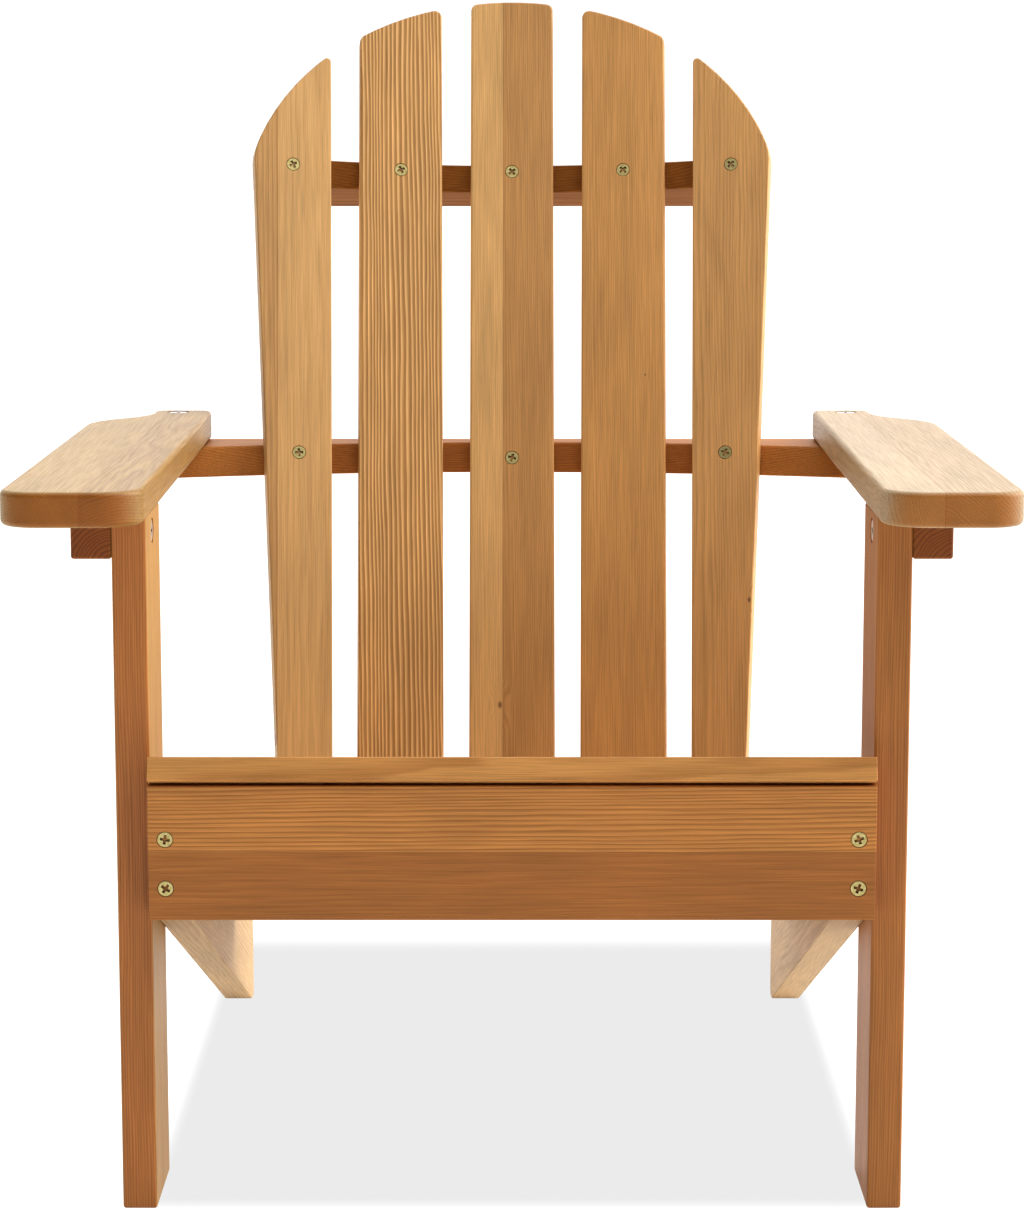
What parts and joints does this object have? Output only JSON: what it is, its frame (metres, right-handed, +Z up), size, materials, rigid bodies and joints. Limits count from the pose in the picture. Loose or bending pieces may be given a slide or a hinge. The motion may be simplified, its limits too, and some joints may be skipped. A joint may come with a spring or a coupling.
{
  "type": "wooden armchair",
  "caption": "Low reclined outdoor armchair in oiled fir, with a sloping slatted seat, a fanned round-topped slat back and broad flat arms.",
  "frame": {"origin": "on the floor, under the middle of the chair's outline", "axes": "+Z up, -Y the way the sitter faces, +X to the right seen from the front"},
  "size_m": [0.74, 0.757, 0.9236],
  "materials": {
    "fir_frame": "oiled fir, planed and eased, warm red-brown legs, rails, apron and braces",
    "fir_slats": "oiled fir, fine straight grain, honey-brown slats",
    "fir_arms": "oiled fir, pale flat-sawn face",
    "yellow_zinc": "yellow-passivated zinc on steel screws",
    "bright_zinc": "bright zinc on steel bolts"
  },
  "bodies": {
    "root": {"apron_screw_left_1": "yellow_zinc", "apron_screw_left_2": "yellow_zinc", "apron_screw_right_1": "yellow_zinc", "apron_screw_right_2": "yellow_zinc", "arm_beam": "fir_frame", "arm_bolt_left": "bright_zinc", "arm_bolt_right": "bright_zinc", "arm_cleat_left": "fir_frame", "arm_cleat_right": "fir_frame", "arm_left": "fir_arms", "arm_right": "fir_arms", "back_slat_1": "fir_slats", "back_slat_2": "fir_slats", "back_slat_3": "fir_slats", "back_slat_4": "fir_slats", "back_slat_5": "fir_slats", "beam_screw_1": "yellow_zinc", "beam_screw_3": "yellow_zinc", "beam_screw_5": "yellow_zinc", "brace_end_screw_left": "yellow_zinc", "brace_end_screw_right": "yellow_zinc", "brace_screw_1": "yellow_zinc", "brace_screw_2": "yellow_zinc", "brace_screw_3": "yellow_zinc", "brace_screw_4": "yellow_zinc", "brace_screw_5": "yellow_zinc", "cleat_bolt_left": "bright_zinc", "cleat_bolt_right": "bright_zinc", "front_apron": "fir_frame", "front_leg_left": "fir_frame", "front_leg_right": "fir_frame", "lower_back_brace": "fir_frame", "rail_bolt_left_1": "bright_zinc", "rail_bolt_left_2": "bright_zinc", "rail_bolt_right_1": "bright_zinc", "rail_bolt_right_2": "bright_zinc", "seat_screw_left_1": "yellow_zinc", "seat_screw_left_2": "yellow_zinc", "seat_screw_left_3": "yellow_zinc", "seat_screw_left_4": "yellow_zinc", "seat_screw_left_5": "yellow_zinc", "seat_screw_right_1": "yellow_zinc", "seat_screw_right_2": "yellow_zinc", "seat_screw_right_3": "yellow_zinc", "seat_screw_right_4": "yellow_zinc", "seat_screw_right_5": "yellow_zinc", "seat_slat_1": "fir_slats", "seat_slat_2": "fir_slats", "seat_slat_3": "fir_slats", "seat_slat_4": "fir_slats", "seat_slat_5": "fir_slats", "side_rail_left": "fir_frame", "side_rail_right": "fir_frame", "tail_screw_1": "yellow_zinc", "tail_screw_2": "yellow_zinc", "tail_screw_3": "yellow_zinc", "tail_screw_4": "yellow_zinc", "tail_screw_5": "yellow_zinc", "upper_back_brace": "fir_frame"}
  },
  "joints": []
}
